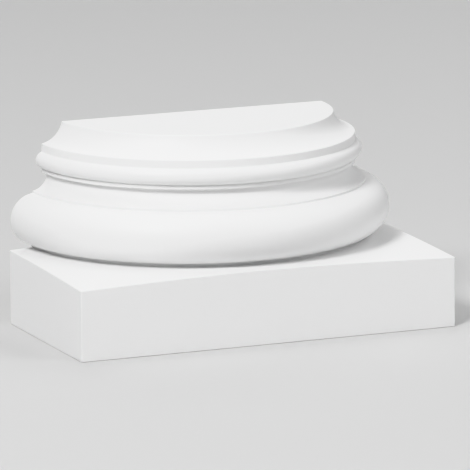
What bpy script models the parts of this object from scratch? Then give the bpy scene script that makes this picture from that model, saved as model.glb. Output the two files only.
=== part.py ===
"""Half column base: a square-edged plinth and a half-round moulded base on it, cast as one piece.

The casting stands against a wall. The column's axis lies in its flat back, its flat underside stands
on the floor, and the flat half disc on top carries a half-round shaft.

Metres, +Z up, +X along the wall, +Y towards the wall. The origin is the middle of the underside.
"""

import math

import bpy

# Flat half disc on top that carries the shaft
SEAT_RADIUS = 0.1244

# How far each moulding stands out past the one above it, or is set back behind it
BAND_PROJECTION = 0.0193
UPPER_TORUS_PROJECTION = 0.0056
LISTEL_INSET = 0.0056
THROAT_INSET = 0.0042
SCOTIA_PROJECTION = 0.0129
FILLET_PROJECTION = 0.0004
LOWER_TORUS_PROJECTION = 0.0207
GAP_INSET = 0.0195

# Heights, from the floor up; the gap is the low neck between the plinth and the lower torus
PLINTH_HEIGHT = 0.0672
GAP_HEIGHT = 0.0026
FILLET_HEIGHT = 0.0021
SCOTIA_HEIGHT = 0.0155
LISTEL_HEIGHT = 0.0038
BAND_HEIGHT = 0.0074
CAVETTO_HEIGHT = 0.0185

# Radii of the two half-round mouldings' own sections
UPPER_TORUS_SECTION = 0.0074
LOWER_TORUS_SECTION = 0.0229

# Depth of the two hollows behind the straight line between their ends
CAVETTO_DEPTH = 0.0042
SCOTIA_DEPTH = 0.0019

# Upright stretch of the scotia under the listel, before its curve starts
THROAT_HEIGHT = 0.0042

# Plinth around the lower torus: its top falls outwards from the gap to its edges
PLINTH_FALL = math.radians(3.2)
PLINTH_SIDE_MARGIN = 0.0015
PLINTH_FRONT_MARGIN = 0.0005
PLINTH_CORNER_BEVEL = 0.0010

# Facets: steps of the whole turn, and points on each curve of the outline
TURN_STEPS = 132
CAVETTO_POINTS = 8
UPPER_TORUS_POINTS = 10
SCOTIA_POINTS = 7
LOWER_TORUS_POINTS = 18
CORNER_SEGMENTS = 2

# Edges that turn more than this between two faces stay crisp
CRISP_ANGLE = math.radians(35.0)

# How far the turned stock and the cutting block reach past each other, and points taken as one
OVERCUT = 0.010
MERGE_DISTANCE = 0.00001

# Radii and plinth sizes that follow from the ones above
BAND_RADIUS = SEAT_RADIUS + BAND_PROJECTION
UPPER_TORUS_RADIUS = BAND_RADIUS + UPPER_TORUS_PROJECTION
LISTEL_RADIUS = UPPER_TORUS_RADIUS - LISTEL_INSET
THROAT_RADIUS = LISTEL_RADIUS - THROAT_INSET
SCOTIA_FOOT_RADIUS = THROAT_RADIUS + SCOTIA_PROJECTION
FILLET_RADIUS = SCOTIA_FOOT_RADIUS + FILLET_PROJECTION
LOWER_TORUS_RADIUS = FILLET_RADIUS + LOWER_TORUS_PROJECTION
GAP_RADIUS = LOWER_TORUS_RADIUS - GAP_INSET
PLINTH_WIDTH = 2.0 * (LOWER_TORUS_RADIUS + PLINTH_SIDE_MARGIN)
PLINTH_DEPTH = LOWER_TORUS_RADIUS + PLINTH_FRONT_MARGIN

# The column's axis stands in the back face, half the depth behind the middle of the underside
AXIS_Y = PLINTH_DEPTH / 2.0


def arc(centre, radius, start, end, count):
    """Points on an arc of the outline from one angle to another, both ends included."""
    points = []
    for i in range(count):
        angle = start + (end - start) * i / (count - 1)
        points.append((centre[0] + radius * math.cos(angle), centre[1] + radius * math.sin(angle)))
    return points


def half_round(outer_radius, section, middle_z, radius_above, radius_below, count):
    """Points down a half-round moulding, from the member above it to the member below it."""
    centre = (outer_radius - section, middle_z)
    start = math.acos((radius_above - centre[0]) / section)
    end = -math.acos((radius_below - centre[0]) / section)
    return arc(centre, section, start, end, count)


def hollow(top, foot, depth, count):
    """Points down a hollow, from its high inner end to its low outer end, both ends included."""
    half_chord = math.dist(top, foot) / 2.0
    radius = (half_chord ** 2 + depth ** 2) / (2.0 * depth)
    outward = math.atan2(foot[1] - top[1], foot[0] - top[0]) + math.pi / 2.0
    centre = (
        (top[0] + foot[0]) / 2.0 + (radius - depth) * math.cos(outward),
        (top[1] + foot[1]) / 2.0 + (radius - depth) * math.sin(outward),
    )
    inward = outward + math.pi
    half_sweep = math.asin(half_chord / radius)
    return arc(centre, radius, inward - half_sweep, inward + half_sweep, count)


def plinth_outline():
    """The plinth's falling top, carried out past its corners, and the foot of the turned stock."""
    rim_radius = math.hypot(PLINTH_WIDTH / 2.0, PLINTH_DEPTH) + OVERCUT
    rim_z = PLINTH_HEIGHT - (rim_radius - GAP_RADIUS) * math.tan(PLINTH_FALL)
    return [
        (GAP_RADIUS, PLINTH_HEIGHT),
        (rim_radius, rim_z),
        (rim_radius, -OVERCUT),
        (0.0, -OVERCUT),
    ]


def turned_outline():
    """The outline as (radius, height) points, from the middle of the seat down its outer side."""
    lower_middle = PLINTH_HEIGHT + GAP_HEIGHT + LOWER_TORUS_SECTION
    lower_torus = half_round(
        LOWER_TORUS_RADIUS, LOWER_TORUS_SECTION, lower_middle, FILLET_RADIUS, GAP_RADIUS, LOWER_TORUS_POINTS
    )
    fillet_top = lower_torus[0][1] + FILLET_HEIGHT
    listel_foot = fillet_top + SCOTIA_HEIGHT
    listel_top = listel_foot + LISTEL_HEIGHT

    upper_middle = listel_top + UPPER_TORUS_SECTION
    upper_torus = half_round(
        UPPER_TORUS_RADIUS, UPPER_TORUS_SECTION, upper_middle, BAND_RADIUS, LISTEL_RADIUS, UPPER_TORUS_POINTS
    )
    band_top = upper_torus[0][1] + BAND_HEIGHT
    seat_z = band_top + CAVETTO_HEIGHT

    cavetto = hollow((SEAT_RADIUS, seat_z), (BAND_RADIUS, band_top), CAVETTO_DEPTH, CAVETTO_POINTS)
    throat = (THROAT_RADIUS, listel_foot - THROAT_HEIGHT)
    scotia = hollow(throat, (SCOTIA_FOOT_RADIUS, fillet_top), SCOTIA_DEPTH, SCOTIA_POINTS)
    return [
        (0.0, seat_z),
        *cavetto,
        *upper_torus,
        (LISTEL_RADIUS, listel_foot),
        (THROAT_RADIUS, listel_foot),
        *scotia,
        (FILLET_RADIUS, fillet_top),
        *lower_torus,
        *plinth_outline(),
    ]


def make_collection(name):
    """A new collection in the scene."""
    collection = bpy.data.collections.new(name)
    bpy.context.scene.collection.children.link(collection)
    return collection


def primed_white():
    """White primer over a hard foam casting."""
    material = bpy.data.materials.new("primed_white")
    material.use_nodes = True
    shader = material.node_tree.nodes["Principled BSDF"]
    shader.inputs["Base Color"].default_value = (0.86, 0.86, 0.85, 1.0)
    shader.inputs["Roughness"].default_value = 0.55
    shader.inputs["Metallic"].default_value = 0.0
    return material


def make_turned_stock(outline, collection):
    """The mouldings and the plinth's top, turned about the column's axis into one round stock."""
    vertices = [(radius, 0.0, height) for radius, height in outline]
    edges = [(i, i + 1) for i in range(len(outline) - 1)]
    mesh = bpy.data.meshes.new("outline")
    mesh.from_pydata(vertices, edges, [])
    stock = bpy.data.objects.new("half_column_base", mesh)
    stock.location = (0.0, AXIS_Y, 0.0)
    collection.objects.link(stock)

    turn = stock.modifiers.new("turn", "SCREW")
    turn.axis = "Z"
    turn.angle = 2.0 * math.pi
    turn.steps = TURN_STEPS
    turn.render_steps = TURN_STEPS
    turn.use_merge_vertices = True
    turn.merge_threshold = MERGE_DISTANCE

    turned = bpy.data.meshes.new_from_object(stock.evaluated_get(bpy.context.evaluated_depsgraph_get()))
    turned.name = "half_column_base"
    turned.shade_smooth()
    turned.set_sharp_from_angle(angle=CRISP_ANGLE)
    turned.materials.append(primed_white())
    stock.modifiers.clear()
    stock.data = turned
    bpy.data.meshes.remove(mesh)
    return stock


def bevel_front_corners(block):
    """Break the block's two upright front edges."""
    weights = block.data.attributes.new("bevel_weight_edge", "FLOAT", "EDGE")
    for edge in block.data.edges:
        first, second = (block.data.vertices[i].co for i in edge.vertices)
        upright = first.xy == second.xy
        weights.data[edge.index].value = 1.0 if upright and first.y < 0.0 else 0.0
    corners = block.modifiers.new("front_corners", "BEVEL")
    corners.limit_method = "WEIGHT"
    corners.width = PLINTH_CORNER_BEVEL
    corners.segments = CORNER_SEGMENTS


def make_block(height, collection):
    """The block that the stock is cut down to: square sides, flat back and flat underside."""
    bpy.ops.mesh.primitive_cube_add(size=1.0)
    block = bpy.context.object
    block.name = "square_block"
    block.scale = (PLINTH_WIDTH, PLINTH_DEPTH, height)
    block.location = (0.0, 0.0, height / 2.0)
    bpy.ops.object.transform_apply(location=True, rotation=False, scale=True)
    bevel_front_corners(block)
    block.hide_render = True
    block.display_type = "WIRE"
    for first_home in list(block.users_collection):
        first_home.objects.unlink(block)
    collection.objects.link(block)
    return block


def main():
    """Turn the stock and cut it square."""
    for old in list(bpy.data.objects):
        bpy.data.objects.remove(old, do_unlink=True)
    part = make_collection("half_column_base")
    cutters = make_collection("cutters")

    outline = turned_outline()
    seat_z = outline[0][1]
    stock = make_turned_stock(outline, part)
    cut = stock.modifiers.new("cut_square", "BOOLEAN")
    cut.operation = "INTERSECT"
    cut.solver = "EXACT"
    cut.object = make_block(seat_z + OVERCUT, cutters)


main()
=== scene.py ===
"""Half column base: its finished surface and the studio that shows it.

The piece is drawn as one outline in the wall plane, turned half round the column's axis, cut square
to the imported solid's box and softened along its edges. Metres, +Z up, +X along the wall, +Y towards
the wall, with the origin in the middle of the underside.
"""

import logging
import math
from dataclasses import dataclass
from enum import Enum
from typing import Any, Callable

import bmesh
import bpy
from mathutils import Matrix, Vector


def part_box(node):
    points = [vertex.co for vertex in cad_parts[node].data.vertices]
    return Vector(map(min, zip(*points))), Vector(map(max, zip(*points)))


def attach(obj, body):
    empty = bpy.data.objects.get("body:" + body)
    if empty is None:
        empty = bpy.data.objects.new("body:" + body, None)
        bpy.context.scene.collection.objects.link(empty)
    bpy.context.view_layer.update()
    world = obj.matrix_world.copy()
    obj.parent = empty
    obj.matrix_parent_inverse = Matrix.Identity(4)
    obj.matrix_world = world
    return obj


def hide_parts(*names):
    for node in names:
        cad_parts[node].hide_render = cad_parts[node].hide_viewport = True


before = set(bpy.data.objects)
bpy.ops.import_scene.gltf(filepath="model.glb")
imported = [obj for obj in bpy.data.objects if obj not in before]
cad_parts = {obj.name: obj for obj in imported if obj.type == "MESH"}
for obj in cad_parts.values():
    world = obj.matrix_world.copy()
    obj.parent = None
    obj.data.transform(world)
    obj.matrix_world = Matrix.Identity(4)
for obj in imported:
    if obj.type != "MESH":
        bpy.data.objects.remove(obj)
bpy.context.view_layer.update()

NODE = "half_column_base"
LOG = logging.getLogger("half_column_base")

Colour = tuple[float, float, float]

# Points nearer to each other than this are one point
SAME_PLACE = 1e-6

# Points nearer to a flat side than this lie in it, once the sides are cut
TOUCH = 1e-5


class CutFace(Enum):
    """A flat side that the round stock is cut to, as the way that the side looks."""

    LEFT = (-1.0, 0.0, 0.0)
    RIGHT = (1.0, 0.0, 0.0)
    FRONT = (0.0, -1.0, 0.0)
    UNDERSIDE = (0.0, 0.0, -1.0)


class Socket:
    """A node's output that takes part in Python expressions."""

    def __init__(self, graph: "Graph", link: Any) -> None:
        """Wrap one output.

        Args:
            graph: The material graph that new Math nodes are added to.
            link: The node output.
        """
        self.graph = graph
        self.link = link

    def _maths(self, operation: str, first: Any, second: Any) -> "Socket":
        """Join two values by a Math node."""
        return self.graph.node("ShaderNodeMath", {"operation": operation}, {0: first, 1: second})

    def __add__(self, other: Any) -> "Socket":
        """Sum of this and another value."""
        return self._maths("ADD", self, other)

    def __radd__(self, other: Any) -> "Socket":
        """Sum of a number and this value."""
        return self._maths("ADD", other, self)

    def __sub__(self, other: Any) -> "Socket":
        """This value less another."""
        return self._maths("SUBTRACT", self, other)

    def __rsub__(self, other: Any) -> "Socket":
        """A number less this value."""
        return self._maths("SUBTRACT", other, self)

    def __mul__(self, other: Any) -> "Socket":
        """Product of this and another value."""
        return self._maths("MULTIPLY", self, other)

    def __rmul__(self, other: Any) -> "Socket":
        """Product of a number and this value."""
        return self._maths("MULTIPLY", other, self)

    def __lt__(self, other: Any) -> "Socket":
        """One where this value is the smaller, and nought elsewhere."""
        return self._maths("LESS_THAN", self, other)

    def __gt__(self, other: Any) -> "Socket":
        """One where this value is the larger, and nought elsewhere."""
        return self._maths("GREATER_THAN", self, other)

    def __or__(self, other: Any) -> "Socket":
        """The larger of this and another value."""
        return self._maths("MAXIMUM", self, other)

    def __ror__(self, other: Any) -> "Socket":
        """The larger of a number and this value."""
        return self._maths("MAXIMUM", other, self)


class Graph:
    """The node graph of one material."""

    def __init__(self, name: str) -> None:
        """Start a material with a plain surface shader.

        Args:
            name: The material's name.
        """
        self.material = bpy.data.materials.new(name)
        self.material.use_nodes = True
        self.tree = self.material.node_tree
        self.surface = self.tree.nodes["Principled BSDF"]

    def node(self, kind: str, settings: dict[str, Any], sockets: dict[Any, Any], output: Any = 0) -> Socket:
        """Add one node.

        Args:
            kind: The node's type.
            settings: Its settings, set before its sockets.
            sockets: Values or links for its inputs, by name or number.
            output: The output that is wanted, by name or number.

        Returns:
            The output as a value for expressions.
        """
        made = self.tree.nodes.new(kind)
        for key, value in settings.items():
            setattr(made, key, value)
        for key, value in sockets.items():
            self.feed(made.inputs[key], value)
        return Socket(self, made.outputs[output])

    def feed(self, socket: Any, value: Any) -> None:
        """Give one input a link or a plain value.

        Args:
            socket: The node input.
            value: A value for expressions, or a number, colour or vector.
        """
        if isinstance(value, Socket):
            self.tree.links.new(value.link, socket)
        else:
            socket.default_value = value

    def place(self) -> Socket:
        """Where a point lies on the object."""
        return self.node("ShaderNodeTexCoord", {}, {}, "Object")

    def along(self, place: Socket, axis: str) -> Socket:
        """One coordinate of a place.

        Args:
            place: The place.
            axis: X, Y or Z.

        Returns:
            The coordinate, in metres.
        """
        return self.node("ShaderNodeSeparateXYZ", {}, {0: place}, axis)

    def noise(self, place: Socket, grain: float, detail: float = 2.0) -> Socket:
        """Soft random values between nought and one.

        Args:
            place: Where the pattern is read.
            grain: Size of one blotch, in metres.
            detail: How many finer layers are added.

        Returns:
            The random value.
        """
        sockets = {"Vector": place, "Scale": 1.0 / grain, "Detail": detail}
        return self.node("ShaderNodeTexNoise", {}, sockets, 0)

    def cells(self, place: Socket, spacing: float, output: str) -> Socket:
        """Random cells.

        Args:
            place: Where the pattern is read.
            spacing: How far apart the cells lie, in metres.
            output: Distance from the cell's middle, or Color, which is random and the cell's own.

        Returns:
            The wanted output.
        """
        return self.node("ShaderNodeTexVoronoi", {}, {"Vector": place, "Scale": 1.0 / spacing}, output)

    def mix(self, factor: Any, first: Any, second: Any) -> Socket:
        """Blend of two colours.

        Args:
            factor: Share of the second colour.
            first: The first colour.
            second: The second colour.

        Returns:
            The blended colour.
        """
        made = self.tree.nodes.new("ShaderNodeMix")
        made.data_type = "RGBA"
        for name, value in (("Factor_Float", factor), ("A_Color", first), ("B_Color", second)):
            self.feed(next(s for s in made.inputs if s.identifier == name), value)
        return Socket(self, next(s for s in made.outputs if s.identifier == "Result_Color"))


@dataclass(frozen=True)
class PrimedFoam:
    """White primer on a smooth cast skin, and the plainer foam of the back and the underside."""

    primer: Colour = (0.93, 0.93, 0.93)
    primer_shade: Colour = (0.92, 0.92, 0.92)
    primer_roughness: float = 0.52
    sheen_patch: float = 0.012
    sheen_change: float = 0.08
    orange_peel: float = 0.0022
    orange_peel_height: float = 0.000010
    blotch: float = 0.075
    raw_foam: Colour = (0.90, 0.885, 0.835)
    raw_shade: Colour = (0.73, 0.71, 0.65)
    raw_blotch: float = 0.018
    raw_detail: float = 4.0
    raw_roughness: float = 0.85
    cell: float = 0.0011
    cell_height: float = 0.00012
    # Painted shade: the pores' colour is darker than the foam and stands in for the shade inside the holes
    pore_painted_shade: Colour = (0.50, 0.475, 0.415)
    pore_spacing: float = 0.006
    pore_share: float = 0.45
    pore_size: float = 0.7
    pore_depth: float = 0.0006
    saw_line: float = 0.0035
    saw_run: float = 0.12
    saw_depth: float = 0.00012
    skin: float = 0.0002

    def material(self, back_y: float) -> bpy.types.Material:
        """Make the material.

        Args:
            back_y: Where the flat back stands.

        Returns:
            The finished material.
        """
        graph = Graph("primed_white")
        place = graph.place()
        raw = (graph.along(place, "Y") > back_y - self.skin) | (graph.along(place, "Z") < self.skin)

        tone = graph.noise(place, self.blotch)
        primer = graph.mix(tone, (*self.primer, 1.0), (*self.primer_shade, 1.0))
        saw_grid = (1.0 / self.saw_run, 1.0 / self.saw_line, 1.0 / self.saw_line)
        sawn = graph.node("ShaderNodeMapping", {}, {"Vector": place, "Scale": saw_grid})
        saw_lines = graph.noise(sawn, 1.0)
        raw_tone = (graph.noise(place, self.raw_blotch, self.raw_detail) + saw_lines) * 0.5
        foam = graph.mix(raw_tone, (*self.raw_foam, 1.0), (*self.raw_shade, 1.0))
        pore_radius = (graph.cells(place, self.pore_spacing, "Color") - self.pore_share) * self.pore_size
        pores = graph.cells(place, self.pore_spacing, "Distance") < pore_radius
        # Painted shade: the pores are coloured darker where shade would fall in the holes; their dent is
        # the bump below
        foam = graph.mix(pores, foam, (*self.pore_painted_shade, 1.0))
        surface = graph.surface
        graph.feed(surface.inputs["Base Color"], graph.mix(raw, primer, foam))

        dullest = self.primer_roughness - self.sheen_change / 2.0
        sheen = graph.noise(place, self.sheen_patch) * self.sheen_change + dullest
        roughness = sheen * (1.0 - raw) + raw * self.raw_roughness
        graph.feed(surface.inputs["Roughness"], roughness)

        peel = graph.noise(place, self.orange_peel) * self.orange_peel_height
        cells = graph.cells(place, self.cell, "Distance") * self.cell_height
        sawn_height = cells + saw_lines * self.saw_depth - pores * self.pore_depth
        height = peel * (1.0 - raw) + sawn_height * raw
        relief = {"Strength": 1.0, "Distance": 1.0, "Height": height}
        bump = graph.node("ShaderNodeBump", {}, relief, "Normal")
        graph.feed(surface.inputs["Normal"], bump)
        return graph.material


class Workpiece:
    """A mesh in edit mode that is drawn, turned, cut and softened with the modelling operators."""

    def __init__(self, name: str) -> None:
        """Start from a primitive drawn together to one point.

        Args:
            name: The object's name.
        """
        bpy.ops.object.select_all(action="DESELECT")
        bpy.ops.mesh.primitive_plane_add(location=(0.0, 0.0, 0.0))
        self.object = bpy.context.object
        self.object.name = name
        self.object.data.name = name
        bpy.ops.object.mode_set(mode="EDIT")
        bpy.ops.mesh.select_all(action="SELECT")
        bpy.ops.mesh.merge(type="CENTER")
        self.pen = Vector((0.0, 0.0, 0.0))

    def move_pen(self, target: Vector) -> None:
        """Move the outline's first point to its place.

        Args:
            target: That place.
        """
        bpy.ops.transform.translate(value=target - self.pen)
        self.pen = target

    def line_to(self, target: Vector) -> Vector:
        """Draw a straight stretch of the outline.

        Args:
            target: The stretch's far end.

        Returns:
            The far end.
        """
        bpy.ops.mesh.extrude_vertices_move(TRANSFORM_OT_translate={"value": target - self.pen})
        self.pen = target
        return target

    def arc_about(self, centre: Vector, sweep: float, steps: int) -> None:
        """Draw a round stretch of the outline.

        Args:
            centre: The arc's centre, in the plane of the outline.
            sweep: The angle to turn through, anticlockwise seen from the front.
            steps: How many short lines make the arc.
        """
        bpy.ops.mesh.spin(steps=steps, angle=sweep, center=centre, axis=(0.0, 1.0, 0.0))
        arm = Matrix.Rotation(-sweep, 3, "Y") @ (self.pen - centre)
        self.pen = centre + arm

    def ease_corner(self, place: Vector, reach: float, steps: int) -> None:
        """Round one corner of the outline.

        Args:
            place: The corner.
            reach: How far from the corner the rounding starts.
            steps: How many short lines make it.
        """
        self.select(lambda point: (point - place).length < SAME_PLACE)
        bpy.ops.mesh.bevel(offset_type="OFFSET", offset=reach, segments=steps, affect="VERTICES")

    def select(self, wanted: Callable[[Vector], bool]) -> None:
        """Select the points that lie where a test says, with the edges and faces between them.

        Args:
            wanted: The test of a point's place.
        """
        bpy.ops.mesh.select_mode(type="VERT")
        bpy.ops.mesh.select_all(action="DESELECT")
        shape = bmesh.from_edit_mesh(self.object.data)
        for vertex in shape.verts:
            vertex.select = wanted(vertex.co)
        shape.select_flush_mode()
        bmesh.update_edit_mesh(self.object.data)

    def select_edges(self, wanted: Callable[[Vector, Vector], bool]) -> None:
        """Select the edges whose two ends pass a test.

        Args:
            wanted: The test of the two ends' places.
        """
        bpy.ops.mesh.select_mode(type="EDGE")
        bpy.ops.mesh.select_all(action="DESELECT")
        shape = bmesh.from_edit_mesh(self.object.data)
        for edge in shape.edges:
            edge.select = wanted(edge.verts[0].co, edge.verts[1].co)
        shape.select_flush_mode()
        bmesh.update_edit_mesh(self.object.data)

    def finish(self, crisp_angle: float) -> bpy.types.Object:
        """Leave edit mode and shade the piece smooth between its crisp edges.

        Args:
            crisp_angle: Edges that turn more than this stay crisp.

        Returns:
            The finished object.
        """
        bpy.ops.mesh.select_all(action="SELECT")
        bpy.ops.mesh.normals_make_consistent(inside=False)
        bpy.ops.object.mode_set(mode="OBJECT")
        bpy.ops.object.shade_smooth_by_angle(angle=crisp_angle)
        flats = self.object.modifiers.new("flat_faces", "WEIGHTED_NORMAL")
        flats.keep_sharp = True
        bpy.ops.object.modifier_apply(modifier=flats.name)
        return self.object


@dataclass
class HalfColumnBase:
    """The casting: a square plinth, and a half-round base of mouldings that carries a shaft."""

    seat_radius: float = 0.1244
    band_projection: float = 0.0193
    upper_torus_projection: float = 0.0056
    listel_inset: float = 0.0056
    throat_inset: float = 0.0042
    scotia_projection: float = 0.0129
    fillet_projection: float = 0.0004
    lower_torus_projection: float = 0.0207
    gap_inset: float = 0.0195
    plinth_height: float = 0.0672
    gap_height: float = 0.0026
    fillet_height: float = 0.0021
    scotia_height: float = 0.0155
    listel_height: float = 0.0038
    band_height: float = 0.0074
    upper_torus_section: float = 0.0074
    lower_torus_section: float = 0.0229
    quirk_height: float = 0.0008
    quirk_inset: float = 0.0003
    cavetto_depth: float = 0.0042
    scotia_depth: float = 0.0022
    throat_height: float = 0.0049
    plinth_fall: float = math.radians(3.2)
    seat_ease: float = 0.0008
    band_ease: float = 0.0010
    bead_ease: float = 0.0008
    lip_ease: float = 0.0002
    listel_ease: float = 0.0005
    throat_ease: float = 0.0010
    fillet_ease: float = 0.0002
    neck_ease: float = 0.0003
    ease_steps: int = 3
    cavetto_steps: int = 22
    upper_torus_steps: int = 20
    scotia_steps: int = 14
    lower_torus_steps: int = 44
    arris: float = 0.0009
    arris_steps: int = 4
    seat_border: float = 0.003
    turn_steps: int = 359
    overcut: float = 0.010
    crisp_angle: float = math.radians(40.0)
    finish: PrimedFoam = PrimedFoam()

    def __post_init__(self) -> None:
        """Read the box that the piece fills from the frame."""
        low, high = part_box(NODE)
        self.low = Vector(low)
        self.high = Vector(high)

    def at(self, radius: float, height: float) -> Vector:
        """A point of the outline, which lies in the plane of the back.

        Args:
            radius: How far the point is from the column's axis.
            height: How high it is above the floor.

        Returns:
            The point.
        """
        return Vector((radius, self.high.y, height))

    def rise(self, section: float, projection: float) -> float:
        """Height of a half-round moulding above its own middle.

        Args:
            section: Radius of the moulding's own section.
            projection: How far the moulding stands out past the member above.

        Returns:
            How far above the moulding's middle that member starts.
        """
        return section * math.sin(math.acos(1.0 - projection / section))

    def hollow(self, work: Workpiece, foot: Vector, depth: float, steps: int) -> Vector:
        """Draw a hollow moulding as one arc.

        Args:
            work: The outline, with its pen at the hollow's high inner end.
            foot: The hollow's low outer end.
            depth: How deep it lies behind the straight line between its ends.
            steps: How many short lines make the arc.

        Returns:
            The hollow's low outer end.
        """
        top = work.pen
        chord = foot - top
        half = chord.length / 2.0
        radius = (half ** 2 + depth ** 2) / (2.0 * depth)
        outward = Vector((-chord.z, 0.0, chord.x)).normalized()
        centre = (top + foot) / 2.0 + outward * (radius - depth)
        work.arc_about(centre, 2.0 * math.asin(half / radius), steps)
        return foot

    def half_round(self, work: Workpiece, section: float, outer: float, below: float, steps: int) -> None:
        """Draw a half-round moulding as one arc.

        Args:
            work: The outline, with its pen at the member above.
            section: Radius of the moulding's own section.
            outer: How far out the moulding reaches.
            below: Radius of the member below, where the arc ends.
            steps: How many short lines make the arc.
        """
        start = math.acos((work.pen.x - (outer - section)) / section)
        end = -math.acos((below - (outer - section)) / section)
        centre = self.at(outer - section, work.pen.z - section * math.sin(start))
        work.arc_about(centre, end - start, steps)

    def draw_outline(self, work: Workpiece) -> None:
        """Draw the outline from the edge of the seat down to the foot of the round stock.

        Args:
            work: The piece, still a single point.
        """
        band = self.seat_radius + self.band_projection
        upper_torus = band + self.upper_torus_projection
        listel = upper_torus - self.listel_inset
        throat = listel - self.throat_inset
        scotia_foot = throat + self.scotia_projection
        fillet = scotia_foot + self.fillet_projection
        lower_torus = fillet + self.lower_torus_projection
        neck = lower_torus - self.gap_inset
        rim = math.hypot(self.high.x, self.high.y - self.low.y) + self.overcut

        upper_rise = self.rise(self.upper_torus_section, self.upper_torus_projection)
        lower_rise = self.rise(self.lower_torus_section, self.lower_torus_projection)
        lower_middle = self.plinth_height + self.gap_height + self.lower_torus_section
        fillet_top = lower_middle + lower_rise + self.fillet_height
        listel_foot = fillet_top + self.scotia_height
        listel_top = listel_foot + self.listel_height
        band_foot = listel_top + self.upper_torus_section + upper_rise
        band_top = band_foot + self.band_height

        quirk = listel - self.quirk_inset
        lip = listel_top - self.quirk_height
        work.move_pen(self.at(self.seat_radius - self.seat_border, self.high.z))
        seat_rim = work.line_to(self.at(self.seat_radius, self.high.z))
        band_arris = self.hollow(work, self.at(band, band_top), self.cavetto_depth, self.cavetto_steps)
        bead_top = work.line_to(self.at(band, band_foot))
        self.half_round(work, self.upper_torus_section, upper_torus, quirk, self.upper_torus_steps)
        work.line_to(self.at(quirk, lip))
        listel_lip = work.line_to(self.at(listel, lip))
        listel_arris = work.line_to(self.at(listel, listel_foot))
        throat_top = work.line_to(self.at(throat, listel_foot))
        throat_foot = work.line_to(self.at(throat, listel_foot - self.throat_height))
        self.hollow(work, self.at(scotia_foot, fillet_top), self.scotia_depth, self.scotia_steps)
        fillet_arris = work.line_to(self.at(fillet, fillet_top))
        torus_top = work.line_to(self.at(fillet, fillet_top - self.fillet_height))
        self.half_round(work, self.lower_torus_section, lower_torus, neck, self.lower_torus_steps)
        neck_foot = work.line_to(self.at(neck, self.plinth_height))
        work.line_to(self.at(rim, self.plinth_height - (rim - neck) * math.tan(self.plinth_fall)))
        work.line_to(self.at(rim, self.low.z - self.overcut))

        for corner, reach in (
            (seat_rim, self.seat_ease),
            (band_arris, self.band_ease),
            (bead_top, self.bead_ease),
            (listel_lip, self.lip_ease),
            (listel_arris, self.listel_ease),
            (throat_top, self.listel_ease),
            (throat_foot, self.throat_ease),
            (fillet_arris, self.fillet_ease),
            (torus_top, self.fillet_ease),
            (neck_foot, self.neck_ease),
        ):
            work.ease_corner(corner, reach, self.ease_steps)

    def turn(self, work: Workpiece) -> None:
        """Turn the outline half round the column's axis and close the stock.

        Args:
            work: The piece, with its outline drawn.
        """
        axis = Vector((0.0, self.high.y, 0.0))
        inner = self.seat_radius - self.seat_border + TOUCH

        def in_seat(place: Vector) -> bool:
            """Whether a place lies in the seat, inside its border."""
            return place.z > self.high.z - SAME_PLACE and (place - axis).xy.length < inner

        def in_foot(place: Vector) -> bool:
            """Whether a place lies in the foot of the stock."""
            return place.z < self.low.z - self.overcut + SAME_PLACE

        def in_back(place: Vector) -> bool:
            """Whether a place lies in the back."""
            return abs(place.y - self.high.y) < SAME_PLACE

        bpy.ops.mesh.select_all(action="SELECT")
        bpy.ops.mesh.spin(steps=self.turn_steps, angle=math.pi, center=axis, axis=(0.0, 0.0, 1.0))
        bpy.ops.mesh.select_all(action="SELECT")
        bpy.ops.mesh.remove_doubles(threshold=SAME_PLACE)
        for in_opening in (in_seat, in_foot, in_back):
            work.select(in_opening)
            bpy.ops.mesh.edge_face_add()

    def cut_square(self) -> None:
        """Cut the round stock to the plinth's sides, front and underside."""
        for face in CutFace:
            look = Vector(face.value)
            corner = self.high if sum(look) > 0.0 else self.low
            bpy.ops.mesh.select_all(action="SELECT")
            bpy.ops.mesh.bisect(plane_co=corner, plane_no=look, use_fill=True, clear_outer=True)

    def ease_arrises(self, work: Workpiece) -> None:
        """Round the plinth's front corners, top edges and bottom edges, and leave the back crisp.

        Args:
            work: The piece, cut square.
        """
        waist = self.plinth_height / 2.0

        def on_side(place: Vector) -> bool:
            """Whether a place lies in the left or the right side."""
            return abs(abs(place.x) - self.high.x) < TOUCH

        def on_front(place: Vector) -> bool:
            """Whether a place lies in the front."""
            return abs(place.y - self.low.y) < TOUCH

        def on_floor(place: Vector) -> bool:
            """Whether a place lies in the underside."""
            return abs(place.z - self.low.z) < TOUCH

        def is_arris(first: Vector, second: Vector) -> bool:
            """Whether an edge is one that the casting rounds."""
            front = on_front(first) and on_front(second)
            side = on_side(first) and on_side(second) and first.x * second.x > 0.0
            if front and side:
                return True
            if not (front or side):
                return False
            upper = first.z > waist and second.z > waist
            lower = on_floor(first) and on_floor(second)
            return upper or lower

        work.select_edges(is_arris)
        bpy.ops.mesh.bevel(
            offset_type="OFFSET",
            offset=self.arris,
            segments=self.arris_steps,
            affect="EDGES",
            clamp_overlap=True,
        )

    def build(self) -> bpy.types.Object:
        """Model and dress the casting.

        Returns:
            The finished piece.
        """
        work = Workpiece("moulded_base")
        self.draw_outline(work)
        self.turn(work)
        self.cut_square()
        self.ease_arrises(work)
        piece = work.finish(self.crisp_angle)
        piece.data.materials.append(self.finish.material(self.high.y))
        return piece


@dataclass(frozen=True)
class Lamp:
    """One square soft light: degrees round to the right, degrees up, side in metres, watts."""

    name: str
    azimuth: float
    elevation: float
    size: float
    power: float


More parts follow.
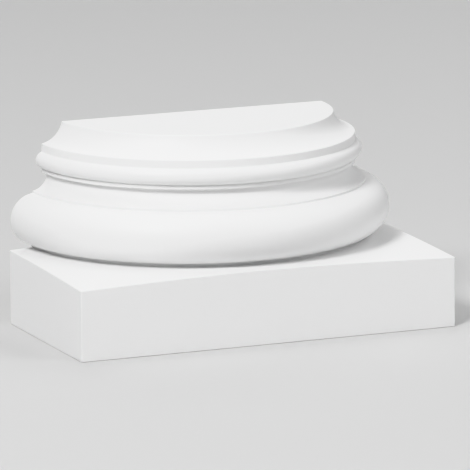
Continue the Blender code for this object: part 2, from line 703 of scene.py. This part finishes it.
@dataclass
class Studio:
    """Pale floor, soft lights and the camera."""

    lens: float = 406.3
    sensor: float = 36.0
    view_depth: float = 50.0
    azimuth: float = math.radians(-22.55)
    elevation: float = math.radians(11.109)
    roll: float = math.radians(-0.485)
    distance: float = 4.638
    aim: tuple[float, float, float] = (0.00210, -0.00275, 0.08102)
    floor_size: float = 24.0
    floor_colour: Colour = (0.63, 0.63, 0.63)
    floor_roughness: float = 0.9
    light_distance: float = 6.0
    lit_height: float = 0.08
    lamps: tuple[Lamp, ...] = (
        Lamp("key", -53.0, 43.0, 1.9, 262.0),
        Lamp("left_fill", -100.0, 45.0, 3.2, 18.0),
        Lamp("front_fill", 42.0, 36.0, 3.2, 121.0),
        Lamp("side_fill", 100.0, 45.0, 3.2, 54.0),
        Lamp("back_fill", 160.0, 45.0, 3.2, 60.0),
        Lamp("top_fill", -150.0, 72.0, 3.2, 94.0),
    )

    def add_camera(self) -> None:
        """Stand the camera at the photograph's viewpoint."""
        data = bpy.data.cameras.new("camera")
        data.lens = self.lens
        data.sensor_width = self.sensor
        data.clip_end = self.view_depth
        camera = bpy.data.objects.new("camera", data)
        turn = Matrix.Rotation(self.azimuth, 4, "Z")
        turn = turn @ Matrix.Rotation(math.pi / 2.0 - self.elevation, 4, "X")
        turn = turn @ Matrix.Rotation(self.roll, 4, "Z")
        back = turn @ Vector((0.0, 0.0, 1.0))
        camera.matrix_world = Matrix.Translation(Vector(self.aim) + back * self.distance) @ turn
        bpy.context.scene.collection.objects.link(camera)
        bpy.context.scene.camera = camera

    def add_floor(self) -> None:
        """Lay the floor."""
        bpy.ops.object.select_all(action="DESELECT")
        bpy.ops.mesh.primitive_plane_add(size=self.floor_size, location=(0.0, 0.0, 0.0))
        floor = bpy.context.object
        floor.name = "floor"
        graph = Graph("pale_floor")
        graph.feed(graph.surface.inputs["Base Color"], (*self.floor_colour, 1.0))
        graph.feed(graph.surface.inputs["Roughness"], self.floor_roughness)
        floor.data.materials.append(graph.material)

    def add_light(self, lamp: Lamp) -> None:
        """Hang one light, so that it looks at the piece.

        Args:
            lamp: The light.
        """
        data = bpy.data.lights.new(lamp.name, "AREA")
        data.size = lamp.size
        data.energy = lamp.power
        light = bpy.data.objects.new(lamp.name, data)
        turn = Matrix.Rotation(math.radians(lamp.azimuth), 4, "Z")
        turn = turn @ Matrix.Rotation(math.radians(90.0 - lamp.elevation), 4, "X")
        lit_point = Matrix.Translation((0.0, 0.0, self.lit_height))
        light.matrix_world = lit_point @ turn @ Matrix.Translation((0.0, 0.0, self.light_distance))
        bpy.context.scene.collection.objects.link(light)

    def set_up(self) -> None:
        """Set up the floor, the lights and the camera, with no light from the sky."""
        world = bpy.data.worlds.new("studio")
        world.use_nodes = True
        world.node_tree.nodes["Background"].inputs["Strength"].default_value = 0.0
        bpy.context.scene.world = world
        bpy.context.scene.view_settings.view_transform = "Khronos PBR Neutral"
        self.add_floor()
        for lamp in self.lamps:
            self.add_light(lamp)
        self.add_camera()


def main() -> None:
    """Build the piece and the studio, and log the piece's count of points and faces."""
    logging.basicConfig(level=logging.INFO, format="%(message)s")
    piece = HalfColumnBase().build()
    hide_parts(NODE)
    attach(piece, "root")
    LOG.info("%s: %d points, %d faces", piece.name, len(piece.data.vertices), len(piece.data.polygons))
    Studio().set_up()


if __name__ == "__main__":
    main()
